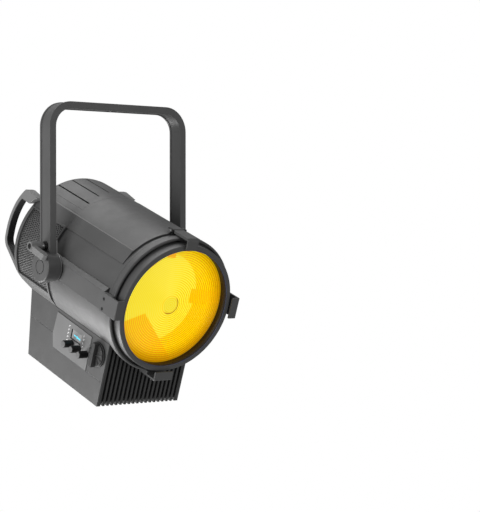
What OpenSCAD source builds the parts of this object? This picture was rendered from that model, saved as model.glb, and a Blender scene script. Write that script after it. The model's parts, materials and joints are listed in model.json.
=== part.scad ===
// LED Fresnel stage spotlight on a hanging yoke.
// Millimetres, +Z up, lens to the front (-Y), control panel on the -X side.
// Origin: centre of the yoke's hanging hole, on the bar's top face.
// The head is drawn level about its tilt pivot and then tilted nose down.

/* [Yoke] */
// Outer width across both arms
yoke_width = 283; // [278:1:340]
// Height from the bar's top face to the tilt pivot
yoke_drop = 276; // [272:1:330]
// Width of the strap the yoke is bent from
strap_width = 31; // [26:1:36]
// Thickness of the strap at its edges
strap_thick = 12; // [8:1:13]
// Outer radius of the yoke's two bends
bend_radius = 43; // [30:1:55]
// Depth of the shallow channel in the strap's faces
channel_depth = 1; // [0.5:0.1:2]
// Radius of the hanging hole
hang_hole_r = 6.5; // [5:0.1:8]

/* [Tilt] */
// Nose-down tilt of the head
tilt = 20; // [-60:1:70]
// Radius of the round tilt knuckles
knuckle_r = 26; // [24:0.5:27]
// Radius of the pivot bolts
pivot_r = 6; // [5:0.5:7]
// Height of the clamp stud above the pivot
stud_rise = 34.5; // [34:0.5:40]
// Length of the clamp lever's blade
lever_length = 30; // [28:1:50]

/* [Barrel] */
// Outer radius of the barrel under its covers
barrel_r = 114.6; // [112:0.2:116]
// Wall thickness of the barrel
barrel_wall = 3; // [2:0.2:4]
// Distance from the pivot to the barrel's front end
barrel_front = 152; // [146:1:160]
// Distance from the pivot back to the rear cap
barrel_back = 26; // [22:1:34]
// Distance from the pivot back to the rear cap's end
cap_back = 135; // [125:1:150]
// Height of the pivot above the lens axis
axis_drop = 5; // [3:0.5:8]

/* [Lens] */
// Clear radius of the lens
lens_r = 102; // [98:0.5:103]
// Number of rings on the lens
lens_rings = 24; // [12:1:30]
// Height of the lens's dome
lens_dome = 5; // [2:0.5:7]

/* [Driver case] */
// Width of the driver case
case_width = 168; // [150:1:176]
// Depth of the case's underside below the lens axis
case_depth = 190; // [180:1:205]
// Number of ribs on the front heat sink
rib_count = 19; // [11:2:21]

/* [Controls] */
// Radius of the encoder knobs
knob_r = 6.25; // [5:0.25:6.5]
// Spacing of the encoder knobs
knob_pitch = 23.2; // [16:0.4:23.6]
// Radius of the zoom dial's flange
dial_r = 21.5; // [15:0.5:22]

/* [Vents] */
// Holes round each side grille
grille_rows = 7; // [4:1:9]
// Holes along each side grille
grille_columns = 9; // [5:1:11]
// Slots in the vent cover
slot_count = 5; // [3:2:7]

/* [Hidden] */
$fn = 96;
// clearances
gap = 0.2;
seam = 0.35;
fit = 0.05;
// yoke
arm_x = yoke_width / 2;
arm_in = arm_x - strap_thick;
lip_w = 4;
chan_w = strap_width - 2 * lip_w;
knuckle_out = arm_x + 10.5;
knuckle_in = arm_in - 3;
arm_end = 12;
plug_r = 11;
counter_r = 12.3;
// layers between knuckle and head, measured along the pivot
plate_t = 2.3;
washer_t = 1.9;
rail_x = knuckle_in - plate_t - washer_t - 0.3;
// height of the side rails and side brackets about the lens axis
side_low = -14;
side_high = 18;
// barrel
barrel_in = barrel_r - barrel_wall;
cover_in = barrel_r + 0.3;
cover_r = barrel_r + 3.4;
cover_front = barrel_front - 6;
ridge_angle = 43;
skirt_angle = 56;
cap_r = barrel_r + 3;
// sloping underside of the rear cap, from the rear plate to the case's rear wall
under_up0 = -54;
under_w0 = -cap_back - 3.1;
vent_half = 36;
grille_from = 57;
grille_to = 118;
// front ring and lens
ring_r = barrel_r + 3.4;
seat_w = barrel_front + 13;
lens_w = seat_w + 0.3;
lens_edge = 3;
lens_out = lens_r + 4;
lip_out = lens_r + 8;
lip_front = barrel_front + 35;
slot_back = barrel_front + 18.5;
bracket_x = ring_r + 7;
bracket_front = barrel_front + 41;
// latch
latch_w = 22;
latch_up = barrel_r + 6.8;
latch_fwd = barrel_front - 5.5;
// driver case
wall = 3;
case_half = case_width / 2;
case_front = barrel_front - 11;
rib_depth = 8;
rear_low = -82;
rear_high = -112;
case_top = -70;
rear_slope = atan2(rear_low - rear_high, case_top + case_depth);
under_up1 = -sqrt(pow(cover_in, 2) - pow(case_half, 2));
under_w1 = rear_high + (case_top - under_up1) * tan(rear_slope);
// controls, along the head and up from the lens axis
ctrl_up = -119.3;
knob_first = 39.7;
disp_w0 = 31.8;
disp_w1 = 62.8;
disp_up0 = -112.4;
disp_up1 = -95.5;
dial_w = 116;
dial_up = -107;
knob_out = case_half + 18.5;
// zoom drive
gear_teeth = 14;
gear_mod = 1.5;
gear_r = gear_teeth * gear_mod / 2;
rack_x = -44;
rack_half = 4;
rack_up = dial_up + gear_r;
carriage_w = 30;
zoom_travel = 16;
rod_x = 75;
rod_up = -50;
rod_r = 4;
// fan
fan_half = 52;
fan_bore = fan_half - 3;
fan_hole = fan_half - 7;
fan_depth = 25;
fan_back = cap_back - 0.2;

// ---- frames -------------------------------------------------------------

// level head coordinates about the pivot, tilted into place
module head() {
    translate([0, 0, -yoke_drop])
        rotate([tilt, 0, 0])
            children();
}

// x across, y up from the lens axis, z forward from the pivot
module axial() {
    head()
        translate([0, 0, -axis_drop])
            rotate([90, 0, 0])
                children();
}

// cylinder along X between two stations
module xcyl(r, x0, x1) {
    translate([min(x0, x1), 0, 0])
        rotate([0, 90, 0])
            cylinder(r = r, h = abs(x1 - x0));
}

module ring(ro, ri, z0, z1) {
    translate([0, 0, z0])
        difference() {
            cylinder(r = ro, h = z1 - z0);
            translate([0, 0, -1])
                cylinder(r = ri, h = z1 - z0 + 2);
        }
}

// sector between two angles measured from straight up towards -X
module wedge(a0, a1, r = 200) {
    n = 6;
    polygon(concat([[0, 0]],
        [for (i = [0 : n]) let (a = a0 + (a1 - a0) * i / n) [-r * sin(a), r * cos(a)]]));
}

module sector(ro, ri, a0, a1, z0, z1) {
    translate([0, 0, z0])
        linear_extrude(height = z1 - z0)
            difference() {
                intersection() {
                    circle(r = ro);
                    wedge(a0, a1);
                }
                circle(r = ri);
            }
}

// side outline (up, forward) swept across the width of the head
module across(x0, x1) {
    translate([x0, 0, 0])
        rotate([90, 0, 90])
            linear_extrude(height = x1 - x0)
                children();
}

// ---- yoke ---------------------------------------------------------------

module u_outline(inset, extra) {
    w = yoke_width - 2 * inset;
    r = bend_radius - inset;
    h = yoke_drop + arm_end + extra;
    translate([-w / 2, -h])
        square([w, h - bend_radius]);
    translate([-w / 2 + r, -bend_radius - 1])
        square([w - 2 * r, bend_radius + 1 - inset]);
    for (s = [-1, 1])
        translate([s * (w / 2 - r), -bend_radius])
            circle(r = r);
}

module u_band(t0, t1, y0, y1) {
    translate([0, y1, 0])
        rotate([90, 0, 0])
            linear_extrude(height = y1 - y0)
                difference() {
                    u_outline(t0, 0);
                    u_outline(t1, 1);
                }
}

module yoke() {
    color([0.12, 0.12, 0.13])
        difference() {
            union() {
                u_band(0, strap_thick, -strap_width / 2, -chan_w / 2);
                u_band(channel_depth, strap_thick - channel_depth, -chan_w / 2, chan_w / 2);
                u_band(0, strap_thick, chan_w / 2, strap_width / 2);
                translate([0, 0, -strap_thick])
                    cylinder(r = chan_w / 2 - 0.5, h = strap_thick);
                for (s = [-1, 1])
                    translate([s > 0 ? arm_in : -arm_x, -chan_w / 2, -yoke_drop - arm_end])
                        cube([strap_thick, chan_w, arm_end + knuckle_r - 2]);
            }
            translate([0, 0, -strap_thick - 1])
                cylinder(r = hang_hole_r, h = strap_thick + 2);
            translate([0, 0, -yoke_drop]) {
                xcyl(pivot_r + fit, -arm_x - 1, -arm_in + 1);
                xcyl(pivot_r + fit, arm_in - 1, arm_x + 1);
            }
            translate([0, 0, -yoke_drop + stud_rise])
                xcyl(4 + fit, -arm_x - 1, -arm_in + 1);
        }
}

module knuckle() {
    // drawn for the -X side
    difference() {
        translate([-knuckle_out, 0, 0])
            rotate([0, 90, 0])
                rotate_extrude()
                    polygon([[0, 0], [knuckle_r - 1.5, 0], [knuckle_r, 1.5],
                             [knuckle_r, knuckle_out - knuckle_in],
                             [0, knuckle_out - knuckle_in]]);
        translate([-arm_x - gap, -strap_width / 2 - gap, -arm_end - gap])
            cube([strap_thick + 2 * gap, strap_width + 2 * gap, arm_end + knuckle_r + 2]);
        xcyl(counter_r, -knuckle_out - 1, -arm_x - 1.4);
        xcyl(pivot_r + 0.4, -knuckle_out - 1, -knuckle_in + 1);
    }
}

module knuckle_left() {
    color([0.13, 0.13, 0.14])
        translate([0, 0, -yoke_drop])
            knuckle();
}

module knuckle_right() {
    color([0.13, 0.13, 0.14])
        translate([0, 0, -yoke_drop])
            mirror([1, 0, 0])
                knuckle();
}

module knuckle_plugs() {
    color([0.16, 0.16, 0.17])
        for (s = [0, 1])
            translate([0, 0, -yoke_drop])
                mirror([s, 0, 0])
                    union() {
                        xcyl(plug_r, -knuckle_out, -knuckle_out + 1.6);
                        xcyl(counter_r - 0.1, -knuckle_out + 1.6, -knuckle_out + 2.8);
                    }
}

module brake_plate() {
    color([0.45, 0.45, 0.47])
        translate([-knuckle_in + 0.05, 0, -yoke_drop])
            rotate([90, 0, 90])
                linear_extrude(height = plate_t)
                    difference() {
                        union() {
                            circle(r = knuckle_r - 1);
                            translate([-11, 0])
                                square([22, stud_rise + 9]);
                        }
                        circle(r = pivot_r + 0.4);
                    }
}

module friction_washers() {
    color([0.3, 0.22, 0.16])
        translate([0, 0, -yoke_drop]) {
            difference() {
                xcyl(knuckle_r - 3, -rail_x - 0.15 - washer_t, -rail_x - 0.15);
                xcyl(pivot_r + 0.4, -rail_x - 3, -rail_x + 1);
            }
            difference() {
                xcyl(knuckle_r - 3, rail_x + 0.15, knuckle_in - 0.05);
                xcyl(pivot_r + 0.4, rail_x - 1, knuckle_in + 1);
            }
        }
}

// ---- clamp --------------------------------------------------------------

module clamp_washers() {
    color([0.05, 0.05, 0.05])
        translate([0, 0, -yoke_drop + stud_rise]) {
            difference() {
                xcyl(8, -arm_x + channel_depth - 3, -arm_x + channel_depth);
                xcyl(4.4, -arm_x - 5, -arm_x + 2);
            }
            difference() {
                xcyl(6.6, -arm_x + channel_depth - 5.5, -arm_x + channel_depth - 3.05);
                xcyl(4.4, -arm_x - 6, -arm_x);
            }
        }
}

module clamp_stud() {
    color([0.5, 0.5, 0.52])
        translate([0, 0, -yoke_drop + stud_rise])
            union() {
                xcyl(4, -knuckle_out - 15, -knuckle_in - 0.3);
                xcyl(6.2, -knuckle_out + 1, -arm_x + channel_depth - 5.7);
            }
}

module clamp_lever() {
    hub_in = -knuckle_out + 0.8;
    hub_out = -knuckle_out - 20;
    color([0.2, 0.2, 0.21])
        translate([0, 0, -yoke_drop + stud_rise])
            difference() {
                union() {
                    xcyl(7.6, hub_out, hub_in);
                    rotate([40, 0, 0])
                        translate([0, 0, -5.5])
                            linear_extrude(height = 11)
                                polygon([[hub_out + 0.5, 2], [hub_out + 0.5, -7],
                                         [hub_out + 11, -lever_length],
                                         [hub_out + 16, -lever_length - 3],
                                         [hub_out + 18.5, -lever_length - 1],
                                         [hub_out + 18.5, -lever_length + 6],
                                         [hub_out + 11.5, -11], [hub_out + 11.5, 2]]);
                }
                xcyl(4 + fit, -knuckle_out - 15.2, hub_in + 1);
                xcyl(5, hub_out - 1, hub_out + 2.6);
                xcyl(1.6, hub_out, hub_out + 6);
            }
}

module clamp_screw() {
    x0 = -knuckle_out - 20;
    color([0.55, 0.55, 0.57])
        translate([0, 0, -yoke_drop + stud_rise])
            difference() {
                union() {
                    xcyl(4.6, x0 + 0.4, x0 + 2.5);
                    xcyl(1.5, x0 + 2.5, x0 + 4.8);
                }
                translate([x0 - 1, -0.6, -3.4])
                    cube([2.2, 1.2, 6.8]);
                translate([x0 - 1, -3.4, -0.6])
                    cube([2.2, 6.8, 1.2]);
            }
}

// ---- barrel -------------------------------------------------------------

module pivot_bolts() {
    color([0.6, 0.6, 0.62])
        head()
            for (s = [0, 1])
                mirror([s, 0, 0])
                    union() {
                        xcyl(pivot_r, -arm_x - 1.9, -barrel_in + 9.5);
                        translate([-arm_x - 6.4, 0, 0])
                            rotate([0, 90, 0])
                                cylinder(r = 10, h = 4.5, $fn = 6);
                    }
}

module barrel() {
    color([0.14, 0.14, 0.15])
        axial()
            difference() {
                union() {
                    ring(barrel_r, barrel_in, -barrel_back, barrel_front);
                    for (s = [0, 1])
                        mirror([s, 0, 0])
                            intersection() {
                                translate([0, axis_drop, 0])
                                    xcyl(20, -barrel_r, -barrel_in + 10);
                                translate([0, 0, -30])
                                    cylinder(r = barrel_in + 1, h = 60);
                            }
                }
                for (s = [0, 1])
                    mirror([s, 0, 0])
                        translate([0, axis_drop, 0])
                            xcyl(pivot_r + fit, -barrel_r - 2, -barrel_in + 11);
                translate([-54, -barrel_r - 1, -14])
                    cube([108, 40, 148]);
            }
}

// bevelled edge of the top cover, s = 1 on the -X side and -1 on the +X side
module cover_facet(s) {
    a = ridge_angle;
    b = skirt_angle;
    ra = cover_r + 1;
    rb = cover_r - 2.2;
    pts = [[-100 * sin(a - 2), 100 * cos(a - 2)],
           [-(cover_r - 1) * sin(a - 2), (cover_r - 1) * cos(a - 2)],
           [-ra * sin(a), ra * cos(a)], [-rb * sin(b), rb * cos(b)],
           [-100 * sin(b), 100 * cos(b)]];
    polygon([for (i = [0 : 4]) let (p = pts[s > 0 ? i : 4 - i]) [s * p[0], p[1]]]);
}

module top_cover() {
    color([0.17, 0.17, 0.18])
        axial()
            difference() {
                translate([0, 0, -barrel_back])
                    linear_extrude(height = cover_front + barrel_back)
                        difference() {
                            union() {
                                intersection() {
                                    circle(r = cover_r);
                                    wedge(-ridge_angle, ridge_angle);
                                }
                                cover_facet(1);
                                cover_facet(-1);
                            }
                            circle(r = cover_in);
                        }
                translate([-14.3, 100, cover_front - 7.5])
                    cube([28.6, 30, 20]);
            }
}

module side_rail() {
    difference() {
        translate([0, 0, -barrel_back])
            linear_extrude(height = barrel_front - 4 + barrel_back)
                difference() {
                    polygon([[-rail_x, side_low], [-rail_x, side_high], [-barrel_r + 0.5, 24],
                             [-100, 24], [-100, side_low]]);
                    circle(r = cover_in);
                }
        translate([0, axis_drop, 0])
            xcyl(pivot_r + 0.1, -rail_x - 1, -barrel_in);
    }
}

module side_rail_left() {
    color([0.15, 0.15, 0.16])
        axial()
            side_rail();
}

module side_rail_right() {
    color([0.15, 0.15, 0.16])
        axial()
            mirror([1, 0, 0])
                side_rail();
}

// space in front of the sloping underside of the rear cap, inset by t
module rear_space(t) {
    k = (under_w1 - under_w0) / (under_up1 - under_up0);
    d = t / cos(atan2(under_up0 - under_up1, under_w1 - under_w0));
    across(-200, 200)
        polygon([[220, under_w0 - 12], [under_up0 - 12 / k + d, under_w0 - 12],
                 [under_up0 + (-20 - under_w0) / k + d, -20], [220, -20]]);
}

// half of the cap's outline below the grille, s = 1 on the -X side
module cap_blend(s) {
    a = grille_to + 2.4;
    pts = [[0, 0], [-cap_r * sin(a), cap_r * cos(a)],
           [-cap_r * sin(a + 3), cap_r * cos(a + 3)],
           [-cover_in * sin(a + 14), cover_in * cos(a + 14)]];
    polygon([for (i = [0 : 3]) let (p = pts[s > 0 ? i : 3 - i]) [s * p[0], p[1]]]);
}

module cap_section() {
    a = grille_to + 2.4;
    difference() {
        union() {
            difference() {
                circle(r = cap_r);
                wedge(ridge_angle - 1.6, skirt_angle - 0.4);
                wedge(0.4 - skirt_angle, 1.6 - ridge_angle);
                wedge(a + 1, 359 - a);
            }
            cover_facet(1);
            cover_facet(-1);
        }
        circle(r = barrel_r);
    }
    difference() {
        union() {
            intersection() {
                circle(r = cover_in);
                wedge(a, 360 - a);
            }
            cap_blend(1);
            cap_blend(-1);
        }
        circle(r = cover_in - 3);
    }
}

module rear_cap() {
    z0 = -cap_back;
    z1 = -barrel_back - seam;
    color([0.14, 0.14, 0.15])
        axial()
            difference() {
                intersection() {
                    union() {
                        translate([0, 0, z0])
                            linear_extrude(height = z1 - z0)
                                cap_section();
                        // plate closing the sloping underside
                        difference() {
                            translate([0, 0, z0])
                                cylinder(r = barrel_r - 2, h = z1 - z0);
                            rear_space(3);
                        }
                    }
                    rear_space(0);
                }
                sector(cap_r + 5, barrel_r - 5, -vent_half, vent_half, z0 - 1, z1 - 5);
                for (s = [0, 1])
                    mirror([s, 0, 0])
                        sector(cap_r + 5, barrel_r - 5, grille_from, grille_to, z0 + 5, z1 - 4.5);
            }
}

module vent_cover() {
    z0 = -cap_back;
    z1 = -barrel_back - seam - 5 - gap;
    pitch = 2 * 27 / (slot_count - 1);
    color([0.17, 0.17, 0.18])
        axial()
            difference() {
                sector(cap_r, barrel_r, -vent_half + 0.12, vent_half - 0.12, z0, z1);
                for (i = [0 : slot_count - 1])
                    rotate([0, 0, (i - (slot_count - 1) / 2) * pitch])
                        translate([-1.4, barrel_r - 5, z0 - 1])
                            cube([2.8, 12, cap_back - 58 + abs(i - (slot_count - 1) / 2) * 11.5]);
            }
}

module rear_plate() {
    color([0.13, 0.13, 0.14])
        axial()
            difference() {
                intersection() {
                    translate([0, 0, -cap_back - 3])
                        cylinder(r = cap_r - 0.4, h = 2.8);
                    rear_space(0);
                }
                translate([0, 0, -cap_back - 4])
                    cylinder(r = fan_bore - 2, h = 5);
                for (a = [45 : 90 : 315])
                    rotate([0, 0, a])
                        translate([fan_hole * sqrt(2), 0, -cap_back - 4])
                            cylinder(r = 2.2, h = 5, $fn = 24);
            }
}

module grille() {
    z0 = -cap_back + 3;
    z1 = -barrel_back - seam - 2.5;
    span = grille_to - grille_from;
    difference() {
        sector(barrel_r - 0.2, barrel_r - 1.6, grille_from - 2, grille_to + 2, z0, z1);
        for (i = [0 : grille_rows - 1])
            for (j = [0 : grille_columns - 1])
                rotate([0, 0, grille_from + span * (i + 0.5) / grille_rows])
                    translate([0, barrel_r - 8, z0 + 4 + (z1 - z0 - 8)
                        * (j + 0.25 + 0.5 * (i % 2)) / grille_columns])
                        rotate([-90, 0, 0])
                            cylinder(r = 3.6, h = 14, $fn = 16);
    }
}

module grille_left() {
    color([0.08, 0.08, 0.09])
        axial()
            grille();
}

module grille_right() {
    color([0.08, 0.08, 0.09])
        axial()
            mirror([1, 0, 0])
                grille();
}

function arc(cx, cy, r, a0, a1, n) =
    [for (i = [0 : n]) let (a = a0 + (a1 - a0) * i / n) [cx + r * cos(a), cy + r * sin(a)]];

// handle outline (back from the pivot, up from the pivot): one strip bent round two arcs
module handle_outline() {
    b = cap_back + 3.1;
    t = 6.5;
    big = [70.2, -5, 123.5];
    small = [big[0] + big[2] - 24, -13, 24];
    lean = 60;
    leg_out = (small[0] + small[2] * cos(lean) - b) * tan(90 - lean);
    leg_in = (small[0] + (small[2] - t) * cos(lean) - b) * tan(90 - lean);
    polygon(concat(
        [[b - 20, 80.5], [149, 84.5]],
        arc(big[0], big[1], big[2], 45.5, 0, 20),
        arc(small[0], small[1], small[2], 0, -lean, 12),
        [[b, small[1] - small[2] * sin(lean) - leg_out],
         [b, small[1] - (small[2] - t) * sin(lean) - leg_in]],
        arc(small[0], small[1], small[2] - t, -lean, 0, 12),
        arc(big[0], big[1], big[2] - t, 0, 36.5, 16),
        [[156, 64.3], [b + 2, 63.6]]));
}

module rear_handle(x0) {
    head()
        difference() {
            translate([x0, 0, 0])
                rotate([90, 0, 90])
                    linear_extrude(height = 14)
                        handle_outline();
            translate([0, cap_back + 3.1, -axis_drop])
                rotate([90, 0, 0])
                    cylinder(r = cap_r + 0.6, h = 60);
        }
}

module rear_handle_left() {
    color([0.13, 0.13, 0.14])
        rear_handle(-104);
}

module rear_handle_right() {
    color([0.13, 0.13, 0.14])
        rear_handle(90);
}

// ---- fan ----------------------------------------------------------------

module fan_frame() {
    color([0.06, 0.06, 0.06])
        axial()
            difference() {
                union() {
                    difference() {
                        translate([-fan_half, -fan_half, -fan_back])
                            cube([2 * fan_half, 2 * fan_half, fan_depth]);
                        translate([0, 0, -fan_back - 1])
                            cylinder(r = fan_bore, h = fan_depth + 2);
                    }
                    translate([0, 0, -fan_back + fan_depth - 3])
                        cylinder(r = 20, h = 3);
                    for (a = [45 : 90 : 315])
                        rotate([0, 0, a])
                            translate([18, -2.5, -fan_back + fan_depth - 3])
                                cube([fan_bore - 16, 5, 3]);
                }
                for (x = [-fan_hole, fan_hole], y = [-fan_hole, fan_hole])
                    translate([x, y, -fan_back - 1])
                        cylinder(r = 2.2, h = fan_depth + 2, $fn = 24);
            }
}

module fan_rotor() {
    z0 = -fan_back + 2;
    z1 = -fan_back + fan_depth - 4;
    color([0.09, 0.09, 0.09])
        axial()
            union() {
                translate([0, 0, z0])
                    cylinder(r = 20, h = z1 - z0);
                for (a = [0 : 360 / 7 : 359])
                    rotate([0, 0, a])
                        translate([(15 + fan_bore) / 2, 0, (z0 + z1) / 2])
                            rotate([38, 0, 0])
                                cube([fan_bore - 21, 2, 22], center = true);
            }
}

module fan_guard() {
    z = -cap_back - 4.6;
    color([0.35, 0.35, 0.36])
        axial()
            union() {
                for (r = [13, 24, 35, 46])
                    translate([0, 0, z])
                        rotate_extrude()
                            translate([r, 0])
                                circle(r = 1.2, $fn = 16);
                for (a = [45 : 90 : 315])
                    rotate([0, 0, a])
                        translate([12, -1.2, z - 0.8])
                            cube([fan_hole * sqrt(2) - 10, 2.4, 2.2]);
            }
}

// ---- front --------------------------------------------------------------

module front_ring() {
    f = barrel_front + 0.2;
    color([0.12, 0.12, 0.13])
        axial()
            rotate_extrude()
                polygon([[lens_r + 1, f], [ring_r - 1, f], [ring_r - 1, f + 4.5],
                         [ring_r - 2.6, f + 4.5], [ring_r - 2.6, f + 6], [ring_r, f + 6],
                         [ring_r, f + 16.5], [ring_r - 1.5, f + 18], [ring_r - 4, f + 18],
                         [ring_r - 4, f + 11], [lip_out + 0.2, f + 11],
                         [lip_out + 0.2, seat_w], [lens_r + 1, seat_w]]);
}

module lens_lip() {
    f = lip_front;
    color([0.12, 0.12, 0.13])
        axial()
            rotate_extrude()
                polygon([[lens_out + 0.3, seat_w + 0.1], [lip_out, seat_w + 0.1],
                         [lip_out, f - 1], [lip_out - 1, f], [lens_r + 1, f], [lens_r, f - 1],
                         [lens_r, lens_w + lens_edge + 0.2],
                         [lens_out + 0.3, lens_w + lens_edge + 0.2]]);
}

module fresnel_lens() {
    step = (lens_r - 12) / lens_rings;
    depth = 1.1;
    color([1, 0.83, 0.1, 0.8])
        axial()
            translate([0, 0, lens_w])
                rotate_extrude()
                    polygon(concat(
                        [[0, 0], [lens_out, 0], [lens_out, lens_edge], [lens_r - 0.3, lens_edge]],
                        [for (i = [lens_rings - 1 : -1 : 0], k = [0, 1])
                            let (r = 11.7 + step * (i + 1 - k), q = lens_dome * (1 - pow(r / lens_r, 2)))
                            [r - (k == 0 ? 0.3 : 0), lens_edge + q + (k == 0 ? -depth + 0.9 : 0.9)]],
                        [[11.4, lens_edge + lens_dome + 0.3], [0, lens_edge + lens_dome + 0.6]]));
}

// one accessory bracket, drawn on the -X side
module bracket(low, high) {
    x = bracket_x;
    difference() {
        translate([0, high, 0])
            rotate([90, 0, 0])
                linear_extrude(height = high - low)
                    polygon([[-x, barrel_front - 3.5], [-x, bracket_front - 1],
                             [-x + 1, bracket_front], [-x + 15, bracket_front],
                             [-x + 15, bracket_front - 3], [-x + 3.2, bracket_front - 3],
                             [-x + 3.2, slot_back], [-100, slot_back], [-100, barrel_front - 3.5]]);
        ring(ring_r + 0.2, 50, barrel_front - 10, lip_front - 4);
        for (u = [-8.5, 8.5])
            translate([0, u, barrel_front + 3]) {
                xcyl(1.6, -x - 1, -ring_r);
                xcyl(3, -x - 1, -x + 1.8);
            }
    }
}

module bracket_left() {
    color([0.13, 0.13, 0.14])
        axial()
            bracket(side_low, side_high);
}

module bracket_right() {
    color([0.13, 0.13, 0.14])
        axial()
            mirror([1, 0, 0])
                bracket(-side_high, side_high);
}

module bracket_bottom() {
    color([0.13, 0.13, 0.14])
        axial()
            rotate([0, 0, 90])
                bracket(-side_high, side_high);
}

module bracket_screws() {
    color([0.03, 0.03, 0.03])
        axial()
            for (a = [0, 90, 180], u = [-8.5, 8.5])
                rotate([0, 0, a])
                    translate([0, u, barrel_front + 3])
                        difference() {
                            union() {
                                xcyl(2.8, -bracket_x + 0.2, -bracket_x + 1.7);
                                xcyl(1.5, -bracket_x + 1.7, -ring_r - 0.4);
                            }
                            translate([-bracket_x - 1, 0, 0])
                                rotate([0, 90, 0])
                                    cylinder(r = 1.3, h = 2, $fn = 6);
                        }
}

module latch_base() {
    h = latch_w / 2 + 0.3;
    f0 = cover_front - 7;
    f1 = barrel_front;
    color([0.07, 0.07, 0.08])
        axial()
            difference() {
                union() {
                    translate([-14, barrel_r - 4, f0])
                        cube([28, 6.4, f1 - f0]);
                    for (s = [0, 1])
                        mirror([s, 0, 0])
                            translate([h, barrel_r - 4, f0])
                                cube([14 - h, 14.5, f1 - f0]);
                }
                translate([0, 0, f0 - 5])
                    cylinder(r = barrel_r + 0.15, h = 30, $fn = 360);
                translate([0, latch_up, latch_fwd])
                    xcyl(2, -15, 15);
            }
}

module latch_pin() {
    color([0.25, 0.25, 0.26])
        axial()
            translate([0, latch_up, latch_fwd])
                union() {
                    xcyl(1.95, -14.2, 14.2);
                    xcyl(3.6, -18.5, -14.1);
                    xcyl(2.8, 14.1, 15.6);
                }
}

module latch_arm() {
    h = latch_w / 2;
    t = 4.4;
    u1 = latch_up + 2.2;
    f = bracket_front;
    color([0.14, 0.14, 0.15])
        axial()
            difference() {
                union() {
                    translate([0, latch_up, latch_fwd])
                        xcyl(4, -h, h);
                    across(-h, h)
                        polygon([[u1 - t, latch_fwd], [u1, latch_fwd], [u1, f - 4], [u1 - 4, f],
                                 [u1 - 20, f], [u1 - 20, f - 3], [u1 - t, f - 3]]);
                }
                translate([0, latch_up, latch_fwd])
                    xcyl(2, -h - 1, h + 1);
            }
}

// ---- inside the barrel --------------------------------------------------

module rod_rings() {
    color([0.4, 0.4, 0.42])
        axial()
            for (z = [-barrel_back + 2, barrel_front - 8])
                difference() {
                    ring(barrel_in - 0.2, 80, z, z + 4);
                    translate([-barrel_r, -130, z - 1])
                        cube([2 * barrel_r, 48.5, 6]);
                    for (s = [-1, 1])
                        translate([s * rod_x, rod_up, z - 1])
                            cylinder(r = rod_r + 0.02, h = 6);
                }
}

module guide_rods() {
    color([0.72, 0.72, 0.74])
        axial()
            for (s = [-1, 1])
                translate([s * rod_x, rod_up, -barrel_back + 1])
                    cylinder(r = rod_r, h = barrel_front + barrel_back - 4);
}

module carriage_plate() {
    color([0.5, 0.5, 0.52])
        axial()
            difference() {
                union() {
                    translate([0, 0, carriage_w])
                        cylinder(r = 84, h = 5);
                    for (s = [-1, 1])
                        translate([s * rod_x, rod_up, carriage_w - 8])
                            cylinder(r = 9, h = 21);
                    translate([rack_x - 8, -98, carriage_w])
                        cube([16, 40, 5]);
                }
                for (s = [-1, 1])
                    translate([s * rod_x, rod_up, carriage_w - 10])
                        cylinder(r = rod_r + fit, h = 30);
            }
}

module heat_sink() {
    z1 = carriage_w - 0.1;
    z0 = z1 - 70;
    n = 15;
    color([0.55, 0.56, 0.58])
        axial()
            union() {
                translate([-52, -52, z1 - 8])
                    cube([104, 104, 8]);
                for (i = [0 : n - 1])
                    translate([-52 + i * 102 / (n - 1), -52, z0])
                        cube([2, 104, z1 - z0]);
            }
}

module led_module() {
    z = carriage_w + 5.1;
    color([0.95, 0.9, 0.6])
        axial()
            union() {
                translate([-22, -22, z])
                    cube([44, 44, 1.8]);
                translate([0, 0, z + 1.7])
                    cylinder(r = 14, h = 1);
                for (x = [-16, 16])
                    translate([x - 3, -20, z + 1.7])
                        cube([6, 5, 3]);
            }
}

module reflector_cup() {
    z = carriage_w + 7.5;
    color([0.85, 0.85, 0.87])
        axial()
            rotate_extrude()
                polygon([[16, z], [28, z + 10], [38, z + 24], [44, z + 40],
                         [45.5, z + 40], [39.4, z + 23.6], [29.2, z + 9.2], [17.2, z]]);
}

module zoom_rack() {
    p = PI * gear_mod;
    w0 = dial_w - zoom_travel - 3.4;
    w1 = dial_w + zoom_travel + 3.4;
    n = floor((w1 - w0) / p / 2);
    color([0.75, 0.72, 0.6])
        axial()
            across(rack_x - rack_half, rack_x + rack_half)
                difference() {
                    polygon([[rack_up - 1.2, w0], [rack_up + 8, w0], [rack_up + 8, carriage_w + 5.1],
                             [rack_up + 14, carriage_w + 5.1], [rack_up + 14, w0 + 2],
                             [rack_up + 9, w1], [rack_up - 1.2, w1]]);
                    for (i = [-n : n])
                        translate([rack_up, dial_w + i * p])
                            polygon([[2.1, -0.75], [-2, -2.3], [-2, 2.3], [2.1, 0.75]]);
                }
}

module zoom_shaft() {
    a = 360 / gear_teeth;
    color([0.7, 0.7, 0.72])
        axial()
            translate([0, dial_up, dial_w])
                union() {
                    xcyl(4, -case_half - 8, rack_x + rack_half + 6);
                    xcyl(gear_r - 1.9, rack_x - rack_half - 1, rack_x + rack_half + 1);
                    translate([rack_x - rack_half - 1, 0, 0])
                        rotate([90, 0, 90])
                            linear_extrude(height = 2 * rack_half + 2)
                                for (i = [0 : gear_teeth - 1])
                                    rotate(i * a)
                                        polygon([[gear_r - 3, -1.25], [gear_r, -0.9],
                                                 [gear_r + 1.1, -0.4], [gear_r + 1.1, 0.4],
                                                 [gear_r, 0.9], [gear_r - 3, 1.25]]);
                }
}

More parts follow.
